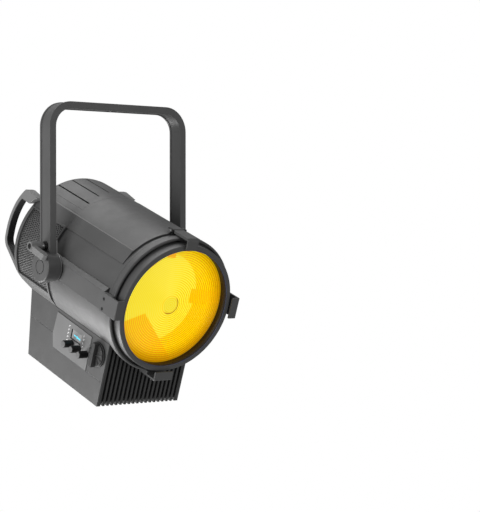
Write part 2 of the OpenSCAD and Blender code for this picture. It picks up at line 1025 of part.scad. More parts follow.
module zoom_dial() {
    x0 = -case_half - 0.6;
    color([0.05, 0.05, 0.05])
        axial()
            translate([0, dial_up, dial_w])
                difference() {
                    union() {
                        xcyl(dial_r, x0 - 2.5, x0);
                        xcyl(dial_r - 1.6, x0 - 5, x0 - 2.5);
                        translate([x0 - 12.5, -dial_r + 1, -4])
                            cube([8, 2 * dial_r - 2, 8]);
                        for (a = [15 : 30 : 345])
                            rotate([a, 0, 0])
                                translate([x0 - 6, 8, -0.7])
                                    cube([1.5, dial_r - 10.5, 1.4]);
                    }
                    xcyl(4 + 0.02, x0 - 7.5, x0 + 1);
                }
}

// ---- driver case --------------------------------------------------------

// side outline as (up, forward), inset by t
module case_side(t) {
    k = t / cos(rear_slope);
    polygon([[-case_depth + t, rear_low + k - t * tan(rear_slope)],
             [-case_depth + t, case_front - t], [case_top, case_front - t],
             [case_top, rear_high + k]]);
}

// region below the seam between the case's two parts
module lower_region(d) {
    polygon([[-260, -200], [-123.75 - d, -200], [-123.75 - d, -21.25], [-147.05 - d, -12.75],
             [-147.05 - d, 200], [-260, 200]]);
}

module panel_shape(d) {
    polygon([[-84.5 - d, -18.5 + d], [-124 - d, -21 + d], [-146.8 + d, -12.5 + d],
             [-146.8 + d, 91.6 - d], [-86 - d, 91.2 - d]]);
}

module case_shell() {
    difference() {
        across(-case_half, case_half)
            case_side(0);
        across(-case_half + wall, case_half - wall)
            case_side(wall);
        intersection() {
            translate([0, 0, -cap_back - 5])
                cylinder(r = cover_in + gap, h = cap_back + 5 - barrel_back + 1);
            rear_space(-gap);
        }
        translate([0, 0, -barrel_back])
            cylinder(r = cover_in, h = 800);
        // front opening for the heat sink
        translate([-case_half + wall, -case_depth - 1, case_front - rib_depth - 3])
            cube([case_width - 2 * wall, 200, 40]);
        // rear socket holes
        rear_face()
            for (x = [-45, -15, 15, 45])
                translate([x, 0, -10])
                    cylinder(r = 11.2, h = 20);
    }
}

// frame on the sloping rear wall, z pointing out of it
module rear_face() {
    m = (rear_low + rear_high) / 2;
    u = (case_top - case_depth) / 2;
    translate([0, u - 8, m + 8 * tan(rear_slope)])
        rotate([-rear_slope, 0, 0])
            rotate([180, 0, 0])
                children();
}

module case_upper() {
    color([0.15, 0.15, 0.16])
        axial()
            difference() {
                case_shell();
                across(-case_half - 1, case_half + 1)
                    lower_region(0);
                across(-case_half - 1, -case_half + wall + 1)
                    panel_shape(-0.25);
                translate([0, dial_up, dial_w])
                    xcyl(4 + fit, -case_half - 1, -case_half + wall + 1);
                across(-case_half - 1, -case_half + wall + 1)
                    translate([ctrl_up, 94.6])
                        square([6.3, 2.8], center = true);
            }
}

module case_lower() {
    color([0.15, 0.15, 0.16])
        axial()
            intersection() {
                case_shell();
                across(-case_half - 1, case_half + 1)
                    lower_region(seam);
            }
}

module front_heatsink() {
    z0 = case_front - rib_depth - 2.8;
    hw = case_half - wall - 0.3;
    pitch = (2 * hw - 4) / (rib_count - 1);
    color([0.1, 0.1, 0.11])
        axial()
            difference() {
                union() {
                    translate([-hw, -case_depth + 0.5, z0])
                        cube([2 * hw, case_depth - 40, 2.8]);
                    for (i = [0 : rib_count - 1])
                        translate([-hw + i * pitch, -case_depth, z0 + 2.8])
                            cube([4, case_depth - 40, rib_depth]);
                }
                translate([0, 0, z0 - 1])
                    cylinder(r = cover_in + 0.1, h = rib_depth + 6);
            }
}

module control_panel() {
    color([0.33, 0.33, 0.34])
        axial()
            difference() {
                across(-case_half - 0.9, -case_half + 2.2)
                    panel_shape(0);
                across(-case_half - 2, -case_half + 4)
                    translate([disp_up0, disp_w0])
                        square([disp_up1 - disp_up0, disp_w1 - disp_w0]);
                for (i = [0 : 2])
                    translate([0, ctrl_up, knob_first + i * knob_pitch])
                        xcyl(3.5, -case_half - 3, -case_half + 4);
            }
}

module display_screen() {
    color([0.02, 0.05, 0.07])
        axial()
            translate([-case_half + 0.6, disp_up0 + 0.15, disp_w0 + 0.15])
                cube([4, disp_up1 - disp_up0 - 0.3, disp_w1 - disp_w0 - 0.3]);
}

module control_board() {
    x = -case_half + 8;
    color([0.05, 0.25, 0.12])
        axial()
            difference() {
                union() {
                    translate([x, -143, -12])
                        cube([1.6, 52, 94 + 12]);
                    for (i = [0 : 2])
                        translate([x - 4.4, ctrl_up - 6, knob_first + i * knob_pitch - 6])
                            cube([4.5, 12, 12]);
                }
                for (i = [0 : 2])
                    translate([0, ctrl_up, knob_first + i * knob_pitch])
                        xcyl(3.06, x - 6, x - 1);
            }
}

module encoder_shaft(i) {
    axial()
        translate([0, ctrl_up, knob_first + i * knob_pitch])
            xcyl(3, -knob_out + 4, -case_half + 6.2);
}

module encoder_knob(i) {
    n = 18;
    axial()
        translate([0, ctrl_up, knob_first + i * knob_pitch])
            difference() {
                union() {
                    xcyl(knob_r, -knob_out + 1, -case_half - 2);
                    xcyl(knob_r - 0.8, -knob_out, -knob_out + 1.2);
                }
                xcyl(3 + fit, -knob_out + 3.8, -case_half);
                for (k = [0 : n - 1])
                    rotate([k * 360 / n, 0, 0])
                        translate([-knob_out - 1, knob_r - 0.35, -0.35])
                            cube([14, 2, 0.7]);
            }
}

module encoder_shaft_1() {
    color([0.6, 0.6, 0.62])
        encoder_shaft(0);
}

module encoder_shaft_2() {
    color([0.6, 0.6, 0.62])
        encoder_shaft(1);
}

module encoder_shaft_3() {
    color([0.6, 0.6, 0.62])
        encoder_shaft(2);
}

module encoder_knob_1() {
    color([0.04, 0.04, 0.04])
        encoder_knob(0);
}

module encoder_knob_2() {
    color([0.04, 0.04, 0.04])
        encoder_knob(1);
}

module encoder_knob_3() {
    color([0.04, 0.04, 0.04])
        encoder_knob(2);
}

module status_window() {
    color([0.02, 0.02, 0.02])
        axial()
            across(-case_half - 0.3, -case_half + 2.5)
                translate([ctrl_up, 94.6])
                    square([6, 2.5], center = true);
}

module power_supply() {
    color([0.7, 0.71, 0.72])
        axial()
            union() {
                translate([-45, -case_depth + wall + 0.3, -60])
                    cube([90, 34, 150]);
                translate([-30, -case_depth + wall + 34, -40])
                    cube([24, 12, 40]);
                translate([8, -case_depth + wall + 34, 10])
                    cube([28, 10, 28]);
            }
}

module socket(r_in) {
    difference() {
        union() {
            translate([0, 0, 0.15])
                cylinder(r = 14, h = 2.5);
            translate([0, 0, -14])
                cylinder(r = 10.9, h = 15);
        }
        translate([0, 0, -10])
            cylinder(r = r_in, h = 15);
    }
    for (a = [0 : 72 : 288])
        rotate([0, 0, a])
            translate([5, 0, -11])
                cylinder(r = 0.8, h = 5, $fn = 16);
}

module power_sockets() {
    color([0.1, 0.2, 0.5])
        axial()
            rear_face()
                for (x = [-45, -15])
                    translate([x, 0, 0])
                        socket(8.5);
}

module data_sockets() {
    color([0.3, 0.3, 0.31])
        axial()
            rear_face()
                for (x = [15, 45])
                    translate([x, 0, 0])
                        socket(7.5);
}

// ---- assembly -----------------------------------------------------------

yoke();
knuckle_left();
knuckle_right();
knuckle_plugs();
brake_plate();
friction_washers();
clamp_washers();
clamp_stud();
clamp_lever();
clamp_screw();
pivot_bolts();
barrel();
top_cover();
side_rail_left();
side_rail_right();
rear_cap();
vent_cover();
rear_plate();
grille_left();
grille_right();
rear_handle_left();
rear_handle_right();
fan_frame();
fan_guard();
fan_rotor();
front_ring();
lens_lip();
fresnel_lens();
bracket_left();
bracket_right();
bracket_bottom();
bracket_screws();
latch_base();
latch_pin();
latch_arm();
rod_rings();
guide_rods();
carriage_plate();
heat_sink();
led_module();
reflector_cup();
zoom_rack();
zoom_shaft();
zoom_dial();
case_upper();
case_lower();
front_heatsink();
control_panel();
display_screen();
control_board();
encoder_shaft_1();
encoder_shaft_2();
encoder_shaft_3();
encoder_knob_1();
encoder_knob_2();
encoder_knob_3();
status_window();
power_supply();
power_sockets();
data_sockets();
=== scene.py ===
import bpy
import bmesh
import json
import math
from mathutils import Matrix, Vector


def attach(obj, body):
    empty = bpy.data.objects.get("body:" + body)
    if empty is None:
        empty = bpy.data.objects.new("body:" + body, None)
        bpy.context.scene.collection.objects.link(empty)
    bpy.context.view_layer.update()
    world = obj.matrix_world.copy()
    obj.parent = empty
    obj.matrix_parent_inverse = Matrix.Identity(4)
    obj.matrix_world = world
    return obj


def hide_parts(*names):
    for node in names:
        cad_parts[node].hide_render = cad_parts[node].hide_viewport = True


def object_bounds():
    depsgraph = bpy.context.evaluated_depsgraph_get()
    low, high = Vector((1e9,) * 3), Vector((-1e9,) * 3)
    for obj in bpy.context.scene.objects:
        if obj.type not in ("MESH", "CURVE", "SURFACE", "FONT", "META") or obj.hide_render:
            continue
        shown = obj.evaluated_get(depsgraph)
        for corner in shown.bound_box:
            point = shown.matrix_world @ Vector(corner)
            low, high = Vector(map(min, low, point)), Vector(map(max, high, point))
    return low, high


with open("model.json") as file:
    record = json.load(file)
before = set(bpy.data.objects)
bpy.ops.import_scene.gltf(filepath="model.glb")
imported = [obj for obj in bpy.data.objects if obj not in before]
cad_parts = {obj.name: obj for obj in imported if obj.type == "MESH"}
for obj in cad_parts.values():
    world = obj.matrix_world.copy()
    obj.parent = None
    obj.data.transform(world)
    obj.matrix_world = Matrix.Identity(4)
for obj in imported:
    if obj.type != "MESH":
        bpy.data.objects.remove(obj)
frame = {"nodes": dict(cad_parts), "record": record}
cad_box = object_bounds()

# Lengths are in metres, in the frame of the CAD part unless a comment says otherwise.
NODES = frame["nodes"]
RECORD = frame["record"]
SLOT = {s["node"]: s["material_slot"] for s in RECORD["subparts"]}
BODY = {n: b for b, ns in RECORD["behaviour"]["bodies"].items() for n in ns}
JOINT = {j["name"]: j for j in RECORD["behaviour"]["joints"]}

# ---- head frame: x across, y up from the lens axis, z forward along it, in metres ----
ACROSS = Vector((1, 0, 0))
FORWARD = Vector(JOINT["fan_spin"]["axis"]).normalized()
UP = FORWARD.cross(ACROSS).normalized()
AXIS = Vector(JOINT["fan_spin"]["pos_m"])
HEAD = Matrix((
    (ACROSS.x, UP.x, FORWARD.x, AXIS.x),
    (ACROSS.y, UP.y, FORWARD.y, AXIS.y),
    (ACROSS.z, UP.z, FORWARD.z, AXIS.z),
    (0, 0, 0, 1)))
TO_HEAD = HEAD.inverted()


def head_points(node_name):
    """Vertices of a CAD node in the head frame."""
    return [TO_HEAD @ v.co for v in NODES[node_name].data.vertices]


def head_box(node_name):
    """Lowest and highest corner of a CAD node in the head frame."""
    pts = head_points(node_name)
    lo = [min(p[i] for p in pts) for i in range(3)]
    hi = [max(p[i] for p in pts) for i in range(3)]
    return lo, hi


def curved_patch(node_name):
    """Radii of a node that bends round the lens axis, with its angle and forward ranges."""
    pts = head_points(node_name)
    radii = [math.hypot(p.x, p.y) for p in pts]
    angles = [math.atan2(p.x, p.y) for p in pts]
    forward = [p.z for p in pts]
    return radii, min(angles), max(angles), min(forward), max(forward)


# ---- materials --------------------------------------------------------------
SHADE_SCALE = 9.0      # slow changes of shade, about 11 cm across
WEAR_SCALE = 55.0      # patches of roughness, about 2 cm across
WEAR = 0.05            # how far they go either way
GRAIN_SCALE = 1400.0   # paint grain
GRAIN_DEPTH = 0.0002


def rgb(r, g, b):
    return (r, g, b, 1.0)


def grey(v):
    return rgb(v, v, v)


def material(name):
    m = bpy.data.materials.new(name)
    m.use_nodes = True
    nt = m.node_tree
    return m, nt, nt.nodes["Principled BSDF"]


def node(nt, kind, **values):
    """A new node with its properties and inputs set by name."""
    n = nt.nodes.new(kind)
    for k, v in values.items():
        if hasattr(n, k):
            setattr(n, k, v)
        else:
            n.inputs[k].default_value = v
    return n


def ramp(nt, source, stops):
    """Colour ramp over source, with (position, colour) stops."""
    r = nt.nodes.new("ShaderNodeValToRGB")
    e = r.color_ramp.elements
    while len(e) < len(stops):
        e.new(0.5)
    for k, (pos, col) in enumerate(stops):
        e[k].position = pos
        e[k].color = col
    nt.links.new(source, r.inputs[0])
    return r.outputs[0]


def noise(nt, scale, detail=2.0, rough=0.5):
    t = node(nt, "ShaderNodeTexNoise", Scale=scale, Detail=detail, Roughness=rough)
    c = nt.nodes.new("ShaderNodeTexCoord")
    nt.links.new(c.outputs["Object"], t.inputs["Vector"])
    return t.outputs["Fac"]


def uneven(nt, socket, scale, low, high):
    """Lets a socket drift between two colours or greys."""
    nt.links.new(ramp(nt, noise(nt, scale), [(0.3, low), (0.7, high)]), socket)


def coat(name, dark, light, rough, metallic=0.0, grain=GRAIN_SCALE, strength=0.25, edge=0.0):
    """Powder coat, plastic or metal: slow shade changes, fine grain and slightly worn roughness."""
    m, nt, b = material(name)
    slow = noise(nt, SHADE_SCALE, 3.0)
    nt.links.new(ramp(nt, slow, [(0.32, dark), (0.68, light)]), b.inputs["Base Color"])
    worn = noise(nt, WEAR_SCALE, 3.0, 0.6)
    worn = ramp(nt, worn, [(0.3, grey(rough - WEAR)), (0.7, grey(rough + WEAR))])
    nt.links.new(worn, b.inputs["Roughness"])
    b.inputs["Metallic"].default_value = metallic
    bump = node(nt, "ShaderNodeBump", Strength=strength, Distance=GRAIN_DEPTH)
    nt.links.new(noise(nt, grain), bump.inputs["Height"])
    nt.links.new(bump.outputs[0], b.inputs["Normal"])
    if edge:
        bevel = node(nt, "ShaderNodeBevel", samples=4, Radius=edge)
        nt.links.new(bevel.outputs[0], bump.inputs["Normal"])
    return m


PAINT = coat("black_paint", grey(0.066), grey(0.078), 0.44, edge=0.0008)
MATS = {
    "black_paint": PAINT,
    "black_anodised": coat("black_anodised", grey(0.038), grey(0.046), 0.42, 0.2, edge=0.0003),
    "grille_paint": coat("grille_paint", grey(0.075), grey(0.09), 0.5),
    "panel_grey": coat("panel_grey", grey(0.14), grey(0.155), 0.48, edge=0.0004),
    "steel": coat("steel", grey(0.32), grey(0.42), 0.34, 1.0, grain=700.0, strength=0.15, edge=0.0003),
    "black_steel": coat("black_steel", grey(0.02), grey(0.03), 0.35, 0.4, edge=0.0003),
    "lever_paint": coat("lever_paint", grey(0.115), grey(0.14), 0.42, edge=0.0006),
    "friction_pad": coat("friction_pad", grey(0.014), grey(0.02), 0.8),
    "cast_alloy": coat("cast_alloy", grey(0.42), grey(0.5), 0.5, 0.9),
    "bare_aluminium": coat("bare_aluminium", grey(0.5), grey(0.6), 0.35, 1.0),
    "black_plastic": coat("black_plastic", grey(0.03), grey(0.04), 0.42, grain=2200.0, edge=0.0004),
    "knob_rubber": coat("knob_rubber", grey(0.004), grey(0.007), 0.5, grain=2600.0),
    "circuit_board": coat("circuit_board", rgb(0.01, 0.12, 0.04), rgb(0.02, 0.16, 0.06), 0.35),
    "lamp_module": coat("lamp_module", rgb(0.8, 0.66, 0.2), rgb(0.9, 0.78, 0.3), 0.5),
    "mirror_metal": coat("mirror_metal", grey(0.82), grey(0.88), 0.1, 1.0),
    "rack_plastic": coat("rack_plastic", rgb(0.6, 0.57, 0.45), rgb(0.68, 0.64, 0.52), 0.5),
    "blue_plastic": coat("blue_plastic", rgb(0.02, 0.06, 0.25), rgb(0.03, 0.08, 0.3), 0.4),
    "socket_metal": coat("socket_metal", grey(0.18), grey(0.24), 0.35, 0.9),
    # light grey of the display glass is partly a painted reflection
    "display_glass": coat("display_glass", grey(0.24), grey(0.27), 0.16, strength=0.02),
    "lens_glass": PAINT,
    # lighter grey for the rear handles: partly their own plastic, partly a painted rim light on their sides
    "handle_lit_paint": coat("handle_lit_paint", grey(0.12), grey(0.14), 0.46, edge=0.0008),
}
# nodes whose look differs from that of their slot in the record
OWN = {"latch_base": "black_steel", "clamp_lever": "lever_paint", "status_window": "knob_rubber",
       "encoder_knob_1": "knob_rubber", "encoder_knob_2": "knob_rubber", "encoder_knob_3": "knob_rubber",
       "rear_handle_left": "handle_lit_paint", "rear_handle_right": "handle_lit_paint"}

for name, obj in NODES.items():
    obj.data.materials.clear()
    obj.data.materials.append(MATS[OWN.get(name, SLOT[name])])
    for p in obj.data.polygons:
        p.material_index = 0


# ---- pieces -----------------------------------------------------------------
def piece(name, verts, faces, mat, like, smooth=True, stands_for=()):
    """A visual piece from head-frame points, which takes the body of the CAD node like."""
    mesh = bpy.data.meshes.new(name)
    mesh.from_pydata([HEAD @ Vector(v) for v in verts], [], faces)
    mesh.update()
    bm = bmesh.new()
    bm.from_mesh(mesh)
    bmesh.ops.recalc_face_normals(bm, faces=bm.faces)
    bm.to_mesh(mesh)
    bm.free()
    for p in mesh.polygons:
        p.use_smooth = smooth
    obj = bpy.data.objects.new(name, mesh)
    bpy.context.scene.collection.objects.link(obj)
    mesh.materials.append(mat)
    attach(obj, BODY[like])
    if stands_for:
        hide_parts(*stands_for)
    return obj


def circle(radius, steps):
    """Points of a circle, as pairs."""
    angles = [2 * math.pi * k / steps for k in range(steps)]
    return [(radius * math.cos(t), radius * math.sin(t)) for t in angles]


def lathe(profile, steps):
    """Closed solid of revolution about the lens axis from (radius, forward) points."""
    verts, faces, rings = [], [], []
    for r, z in profile:
        points = [(x, y, z) for x, y in circle(r, steps)] if r else [(0, 0, z)]
        rings.append(range(len(verts), len(verts) + len(points)))
        verts += points
    for a, b in zip(rings, rings[1:] + rings[:1]):
        if len(a) == 1 and len(b) == 1:
            continue
        for k in range(steps):
            n = (k + 1) % steps
            if len(a) == 1:
                faces.append((a[0], b[n], b[k]))
            elif len(b) == 1:
                faces.append((a[k], a[n], b[0]))
            else:
                faces.append((a[k], a[n], b[n], b[k]))
    return verts, faces


def band(name, r0, r1, z0, z1, steps, mat, like):
    """Plain ring of rectangular section."""
    verts, faces = lathe([(r0, z0), (r1, z0), (r1, z1), (r0, z1)], steps)
    piece(name, verts, faces, mat, like)


# ---- lens: stepped rings on a slightly dished face, with a flat raised disc in the middle ----
LENS_STEPS = 160
LENS_LO, LENS_HI = head_box("fresnel_lens")
LENS_R = LENS_HI[0]
SEAT_W = 0.004         # plain rim of the glass, held under the lip
CLEAR_R = LENS_R - SEAT_W
LENS_SINK = 0.0049     # from the front of the CAD lens back to the middle of the stepped face
LENS_MID = LENS_HI[2] - LENS_SINK
FLANGE = LENS_LO[2] + 0.003
RINGS = 24
TOOTH = 0.0011         # rise of one ring
TOOTH_FOOT = 0.1       # shares of a ring's width by which its slope stops short and runs over
TOOTH_TIP = 0.02
DOME = -0.002          # bulge of the face, negative because it is dished
DISC_R = 0.0155
DISC_RISE = 0.0006
DISC_FOOT = 0.0012
DISC_EDGE = 0.0004
RING_W = (CLEAR_R - DISC_R) / RINGS


def lens_profile():
    edge = LENS_MID - DOME - TOOTH
    profile = [(0, LENS_LO[2]), (LENS_R, LENS_LO[2]), (LENS_R, FLANGE), (CLEAR_R, FLANGE)]
    for i in range(RINGS):
        outer = CLEAR_R - i * RING_W
        inner = outer - RING_W
        profile.append((outer - TOOTH_FOOT * RING_W, edge + DOME * (1 - (outer / CLEAR_R) ** 2)))
        profile.append((inner + TOOTH_TIP * RING_W, edge + DOME * (1 - (inner / CLEAR_R) ** 2) + TOOTH))
    top = LENS_MID + DISC_RISE
    profile += [(DISC_R, LENS_MID - DISC_FOOT), (DISC_R - DISC_EDGE, top - DISC_EDGE / 2),
                (DISC_R - 3 * DISC_EDGE, top), (0, top)]
    return profile


class Graph:
    """Small arithmetic on the coordinates of a node tree."""

    def __init__(self, nt):
        self.nt = nt

    def op(self, kind, a, b=0.0):
        n = self.nt.nodes.new("ShaderNodeMath")
        n.operation = kind
        for k, v in enumerate((a, b)):
            if isinstance(v, (int, float)):
                n.inputs[k].default_value = v
            else:
                self.nt.links.new(v, n.inputs[k])
        return n.outputs[0]

    def product(self, *values):
        out = values[0]
        for v in values[1:]:
            out = self.op("MULTIPLY", out, v)
        return out

    def flip(self, value):
        return self.op("SUBTRACT", 1.0, value)

    def along(self, x, y, direction):
        """How far a point lies in a direction."""
        return self.op("ADD", self.op("MULTIPLY", x, direction[0]), self.op("MULTIPLY", y, direction[1]))

    def radius(self, x, y):
        return self.op("SQRT", self.op("ADD", self.op("MULTIPLY", x, x), self.op("MULTIPLY", y, y)))

    def step(self, value, edge, soft):
        """0 below edge, 1 above it, over a width of soft."""
        v = self.op("DIVIDE", self.op("SUBTRACT", value, edge - soft / 2), soft)
        return self.op("MINIMUM", self.op("MAXIMUM", v, 0.0), 1.0)

    def region(self, x, y, lines, k, soft=0.001):
        """1 where a point is on the left of every line. Lines are pairs of points, times k."""
        sides = []
        for (ax, ay), (bx, by) in lines:
            dx, dy = (bx - ax) * k, (by - ay) * k
            n = math.hypot(dx, dy)
            sides.append(self.step(self.along(x, y, (-dy / n, dx / n)), (-dy * ax + dx * ay) * k / n, soft))
        return self.product(*sides)

    def mix(self, fac, a, b):
        """Colour a where fac is 0, colour b where it is 1."""
        n = self.nt.nodes.new("ShaderNodeMix")
        n.data_type = "RGBA"
        self.nt.links.new(fac, n.inputs[0])
        for k, v in ((6, a), (7, b)):
            if isinstance(v, tuple):
                n.inputs[k].default_value = v
            else:
                self.nt.links.new(v, n.inputs[k])
        return n.outputs[2]


def head_coords(nt):
    """Coordinates in the head frame, which move with the head."""
    c = nt.nodes.new("ShaderNodeTexCoord")
    mp = nt.nodes.new("ShaderNodeMapping")
    mp.vector_type = "TEXTURE"
    mp.inputs["Location"].default_value = HEAD.to_translation()
    mp.inputs["Rotation"].default_value = HEAD.to_euler()
    nt.links.new(c.outputs["Object"], mp.inputs["Vector"])
    sep = nt.nodes.new("ShaderNodeSeparateXYZ")
    nt.links.new(mp.outputs[0], sep.inputs[0])
    return sep.outputs["X"], sep.outputs["Y"], sep.outputs["Z"]


# What shows through the lens, with painted reflections, glow and shade over it, in the head frame, as it
# would be at a clear radius of DRAWN_R.
# A region is a list of lines from point to point that have the region on their left.
DRAWN_R = 0.102
GLOW_AT = (-0.030, 0.015)
GLOW_R = 0.077
REFLECTED_WINDOW = [((0.037, 0.030), (0.037, 0.0)), ((0.037, 0.003), (0.095, -0.004)),
          ((0.097, 0.021), (0.038, 0.028))]
REFLECTED_WEDGE = [((-0.048, -0.013), (-0.091, -0.027)), ((-0.010, -0.057), (-0.048, -0.013))]
REFLECTED_TAB = [((-0.028, 0.0835), (-0.010, 0.0835)), ((-0.028, 0.08), (-0.028, 0.07)),
       ((-0.011, 0.07), (-0.011, 0.08))]
SHADE_SIDE = (0.8, -0.6)
SHADE_AMBER = rgb(0.55, 0.25, 0.0)
LENS_PAINTED_GLOW = 0.42


def lens_material():
    m, nt, b = material("lens_face")
    g = Graph(nt)
    x, y = head_coords(nt)[:2]
    k = CLEAR_R / DRAWN_R
    r = g.radius(x, y)
    lean = g.along(x, y, SHADE_SIDE)
    below = g.op("MULTIPLY", y, -1.0)
    # painted light and shade of the ring steps, one cycle to a ring
    ring = g.op("FRACT", g.op("DIVIDE", g.op("SUBTRACT", r, DISC_R), RING_W))
    ring = ramp(nt, ring, [(0.0, grey(0.0)), (0.2, grey(0.0)), (0.4, grey(1.0)), (0.8, grey(1.0)),
                           (1.0, grey(0.0))])

    def rings(dark, light):
        return g.mix(ring, dark, light)

    # painted glow: a bright round pool of light, with no edge to it on the upper left
    off = g.radius(g.op("SUBTRACT", x, GLOW_AT[0] * k), g.op("SUBTRACT", y, GLOW_AT[1] * k))
    left = g.step(g.op("MULTIPLY", x, -1.0), 0.018 * k, 0.03 * k)
    outer = g.product(g.step(off, GLOW_R * k, 0.0015), g.flip(g.product(left, g.step(y, 0.0, 0.02))))
    col = g.mix(outer, rings(rgb(1.0, 0.56, 0.0), rgb(1.0, 0.98, 0.06)),
                rings(rgb(0.95, 0.38, 0.0), rgb(1.0, 0.86, 0.0)))
    # painted reflections: window-like patches of deeper amber
    col = g.mix(g.region(x, y, REFLECTED_WINDOW, k), col, rings(rgb(1.0, 0.5, 0.0), rgb(1.0, 0.68, 0.0)))
    col = g.mix(g.region(x, y, REFLECTED_WEDGE, k), col, rings(rgb(1.0, 0.38, 0.0), rgb(1.0, 0.7, 0.0)))
    col = g.mix(g.region(x, y, REFLECTED_TAB, k), col, rgb(1.0, 0.5, 0.0))
    # painted shade: deeper towards the rim on the +X and lower sides
    rim = g.product(g.step(r, 0.088 * k, 0.024 * k), g.step(lean, 0.0, 0.1 * k))
    col = g.mix(g.op("MULTIPLY", rim, 0.85), col, rings(rgb(0.5, 0.22, 0.0), rgb(0.82, 0.42, 0.0)))
    low = g.product(g.step(r, 0.094 * k, 0.016 * k), g.step(below, 0.02 * k, 0.05 * k))
    col = g.mix(g.op("MULTIPLY", low, 0.6), col, SHADE_AMBER)
    # painted shadow on the edge of the middle disc, on its +X and lower side
    disc_shadow = g.product(g.step(r, DISC_R - 0.0016, 0.0008), g.flip(g.step(r, DISC_R + 0.0012, 0.0008)),
                         g.step(lean, 0.002, 0.008))
    col = g.mix(disc_shadow, col, SHADE_AMBER)
    nt.links.new(col, b.inputs["Base Color"])
    # painted glow: the lens face also emits its colours, which brightens its painted light and shade
    nt.links.new(col, b.inputs["Emission Color"])
    b.inputs["Emission Strength"].default_value = LENS_PAINTED_GLOW
    uneven(nt, b.inputs["Roughness"], 60.0, grey(0.3), grey(0.4))
    b.inputs["Specular IOR Level"].default_value = 0.3
    return m


verts, faces = lathe(lens_profile(), LENS_STEPS)
piece("lens_face", verts, faces, lens_material(), "fresnel_lens", smooth=False, stands_for=("fresnel_lens",))

# thin seal round the lens opening; its bluish tint is a painted highlight on the glass edge
LIP_FRONT = head_box("lens_lip")[1][2]
SEAL_R = 0.0005
SEAL_AT = (CLEAR_R - 0.0002, LIP_FRONT - 0.0006)
seal_glint_mat = coat("lens_seal_glint", rgb(0.05, 0.07, 0.16), rgb(0.07, 0.09, 0.2), 0.35)
verts, faces = lathe([(SEAL_AT[0] + dr, SEAL_AT[1] + dz) for dr, dz in circle(SEAL_R, 10)], LENS_STEPS)
piece("lens_seal_glint", verts, faces, seal_glint_mat, "lens_lip")

# narrow painted joint between the barrel and the rear cap
BARREL_LO, BARREL_HI = head_box("barrel")
BARREL_R, BARREL_BACK = BARREL_HI[0], BARREL_LO[2]
JOINT_T = 0.0006
band("cap_joint", BARREL_R - JOINT_T, BARREL_R, BARREL_BACK - JOINT_T, BARREL_BACK + JOINT_T / 2, 96,
     PAINT, "barrel")

# near-black, brownish lining of the lip's inner wall: painted shade in the recess in front of the lens
lining = coat("lip_shade_lining", rgb(0.012, 0.008, 0.004), rgb(0.02, 0.012, 0.006), 0.55)
LINING_GAP = 0.00005
LINING_T = 0.0006
band("lip_shade_lining", CLEAR_R - LINING_GAP, CLEAR_R - LINING_T, LENS_MID - DOME, LIP_FRONT - 0.0012,
     LENS_STEPS, lining, "lens_lip")


# ---- side grilles: perforated sheet, with a plain dark sheet behind as painted shade ---
HOLE_PITCH = 0.0046
HOLE_R = 0.0019
HOLE_STRETCH = 1.12    # holes are a little wider round the axis than along it
SHEET_INSET = 0.0006
SHEET_T = 0.0009
SOLID_EDGE = 1.3 * HOLE_R
HEX_CORNERS = [math.radians(30 + 60 * q) for q in range(6)]


def perforated(name, node_name):
    """Sheet of hexagonal cells, each with a hole, wrapped round the lens axis."""
    radii, a0, a1, z0, z1 = curved_patch(node_name)
    rad = max(radii) - SHEET_INSET
    s0, s1 = a0 * rad, a1 * rad
    cell = HOLE_PITCH / math.sqrt(3)
    verts, faces, index = [], [], {}

    def vert(s, z):
        s = min(max(s, s0), s1)
        z = min(max(z, z0), z1)
        key = (round(s * 1e6), round(z * 1e6))
        if key not in index:
            index[key] = len(verts)
            verts.append((rad * math.sin(s / rad), rad * math.cos(s / rad), z))
        return index[key]

    def hexagon(s, z, across, forward):
        return [vert(s + across * math.cos(t), z + forward * math.sin(t)) for t in HEX_CORNERS]

    odd = False
    z = z0
    row = HOLE_PITCH * math.sin(math.pi / 3)
    while z <= z1 + row / 2:
        s = s0 + (HOLE_PITCH / 2 if odd else 0.0)
        while s <= s1 + HOLE_PITCH / 2:
            outside = hexagon(s, z, cell, cell)
            if min(s - s0, s1 - s, z - z0, z1 - z) < SOLID_EDGE:
                corners = tuple(dict.fromkeys(outside))
                if len(corners) > 2:
                    faces.append(corners)
            else:
                hole = hexagon(s, z, HOLE_R * HOLE_STRETCH, HOLE_R)
                for q in range(6):
                    n = (q + 1) % 6
                    faces.append((outside[q], outside[n], hole[n], hole[q]))
            s += HOLE_PITCH
        z += row
        odd = not odd
    obj = piece(name, verts, faces, MATS["grille_paint"], node_name, stands_for=(node_name,))
    solid = obj.modifiers.new("sheet", "SOLIDIFY")
    solid.thickness = SHEET_T
    solid.offset = 0.0


perforated("grille_sheet_left", "grille_left")
perforated("grille_sheet_right", "grille_right")

BAFFLE_STEPS = 24
BAFFLE_GAP = 0.005
BAFFLE_T = 0.0008


def shade_baffle(name, node_name):
    """Plain dark sheet a little inside a grille, which keeps light in; its near-black colour is painted
    shade seen through the holes.
    """
    radii, a0, a1, z0, z1 = curved_patch(node_name)
    front = min(radii) - BAFFLE_GAP
    back = front - BAFFLE_T
    verts, faces = [], []
    for k in range(BAFFLE_STEPS + 1):
        t = a0 + (a1 - a0) * k / BAFFLE_STEPS
        for r, z in ((front, z0), (front, z1), (back, z1), (back, z0)):
            verts.append((r * math.sin(t), r * math.cos(t), z))
        if k:
            n = 4 * k
            faces += [(n - 4 + q, n - 4 + (q + 1) % 4, n + (q + 1) % 4, n + q) for q in range(4)]
    end = len(verts)
    faces += [(0, 1, 2, 3), (end - 1, end - 2, end - 3, end - 4)]
    piece(name, verts, faces, MATS["friction_pad"], node_name)


shade_baffle("grille_baffle_left", "grille_left")
shade_baffle("grille_baffle_right", "grille_right")


